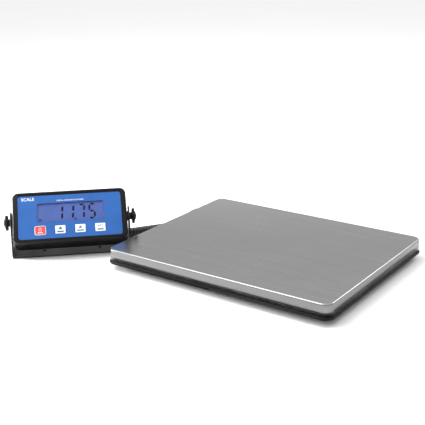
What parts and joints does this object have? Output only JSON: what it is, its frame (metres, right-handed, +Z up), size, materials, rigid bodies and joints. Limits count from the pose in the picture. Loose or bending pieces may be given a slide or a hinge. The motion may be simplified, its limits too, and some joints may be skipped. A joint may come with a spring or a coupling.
{
  "type": "platform shipping scale",
  "caption": "Low shipping scale: lift-off stainless pan on a black base with load cells, joined by a curly cord to a tilting indicator in a U bracket.",
  "frame": {"origin": "centre of the whole footprint (platform and indicator), on the table", "axes": "+X along the platform's front edge to the right, +Y to its back, +Z up"},
  "size_m": [0.5266, 0.3345, 0.0886],
  "materials": {
    "stainless": "brushed stainless steel, grain along the width",
    "plated_steel": "zinc-plated pressed steel",
    "screw_steel": "plated steel",
    "cell_steel": "stamped alloy steel",
    "tray_plastic": "black moulded plastic, fine texture",
    "rubber_black": "soft black rubber",
    "circuit_board": "green solder mask on glass fibre",
    "red_sleeve": "red insulated lead",
    "cord_jacket": "black flexible jacket, satin",
    "gland_plastic": "black nylon",
    "bracket_paint": "dark grey powder coat on bent sheet steel",
    "fibre": "hard fibre washer",
    "knob_plastic": "black glass-filled nylon",
    "case_plastic": "black moulded plastic, satin with fine grain",
    "overlay_blue": "blue printed polyester film, satin",
    "clear_lens": "clear acrylic",
    "lcd_glass": "blue-violet backlit liquid-crystal glass",
    "white_plastic": "white diffuser",
    "switch_plastic": "black switch body",
    "key_red": "red printed key",
    "key_white": "white printed key",
    "brass_insert": "turned brass",
    "battery_sleeve": "printed sleeve on a steel can",
    "spring_steel": "nickel-plated spring steel"
  },
  "bodies": {
    "base": {"pan_pads": "rubber_black", "deck_plate": "plated_steel", "deck_screws": "screw_steel", "base_tray": "tray_plastic", "load_cell_front_left": "cell_steel", "load_cell_front_right": "cell_steel", "load_cell_back_left": "cell_steel", "load_cell_back_right": "cell_steel", "foot_posts": "tray_plastic", "foot_front_left": "rubber_black", "foot_front_right": "rubber_black", "foot_back_left": "rubber_black", "foot_back_right": "rubber_black", "junction_board": "circuit_board", "junction_screws": "screw_steel", "cell_leads": "red_sleeve", "inner_lead": "cord_jacket", "base_gland": "gland_plastic", "bracket": "bracket_paint", "arm_washers": "fibre", "cord_tail": "cord_jacket", "curly_cord": "cord_jacket", "cord_lead": "cord_jacket"},
    "pan": {"pan": "stainless"},
    "head": {"front_case": "case_plastic", "rear_case": "case_plastic", "case_screws": "screw_steel", "overlay": "overlay_blue", "display_lens": "clear_lens", "lcd_panel": "lcd_glass", "lcd_holder": "white_plastic", "main_board": "circuit_board", "board_screws": "screw_steel", "key_switches": "switch_plastic", "pivot_inserts": "brass_insert", "batteries": "battery_sleeve", "battery_contacts": "spring_steel", "power_inlet": "gland_plastic", "head_gland": "gland_plastic"},
    "knob_left": {"knob_left": "knob_plastic", "stud_left": "screw_steel"},
    "knob_right": {"knob_right": "knob_plastic", "stud_right": "screw_steel"},
    "key_power": {"key_power": "key_red"},
    "key_units": {"key_units": "key_white"},
    "key_hold": {"key_hold": "key_white"},
    "key_zero": {"key_zero": "key_white"},
    "battery_door": {"battery_door": "case_plastic"}
  },
  "joints": [
    {"name": "head_tilt", "type": "hinge", "parent": "base", "child": "head", "pos_m": [-0.18249, -0.086, 0.048], "axis": [0.7254, 0.6884, 0], "range_deg": [-44, 56], "deforming": ["cord_tail"]},
    {"name": "knob_left_turn", "type": "hinge", "parent": "head", "child": "knob_left", "pos_m": [-0.18249, -0.086, 0.048], "axis": [-0.7254, -0.6884, 0], "continuous": true},
    {"name": "knob_right_turn", "type": "hinge", "parent": "head", "child": "knob_right", "pos_m": [-0.18249, -0.086, 0.048], "axis": [0.7254, 0.6884, 0], "continuous": true},
    {"name": "key_power_press", "type": "slide", "parent": "head", "child": "key_power", "axis": [-0.5195, 0.5474, -0.6561], "range_m": [0, 0.0005], "stiffness_N_per_m": 1500},
    {"name": "key_units_press", "type": "slide", "parent": "head", "child": "key_units", "axis": [-0.5195, 0.5474, -0.6561], "range_m": [0, 0.0005], "stiffness_N_per_m": 1500},
    {"name": "key_hold_press", "type": "slide", "parent": "head", "child": "key_hold", "axis": [-0.5195, 0.5474, -0.6561], "range_m": [0, 0.0005], "stiffness_N_per_m": 1500},
    {"name": "key_zero_press", "type": "slide", "parent": "head", "child": "key_zero", "axis": [-0.5195, 0.5474, -0.6561], "range_m": [0, 0.0005], "stiffness_N_per_m": 1500},
    {"name": "battery_door_slide", "type": "slide", "parent": "head", "child": "battery_door", "axis": [-0.4516, 0.4759, 0.7547], "range_m": [0, 0.012]},
    {"name": "pan_lift", "type": "slide", "parent": "base", "child": "pan", "axis": [0, 0, 1], "range_m": [0, 0.03]}
  ]
}
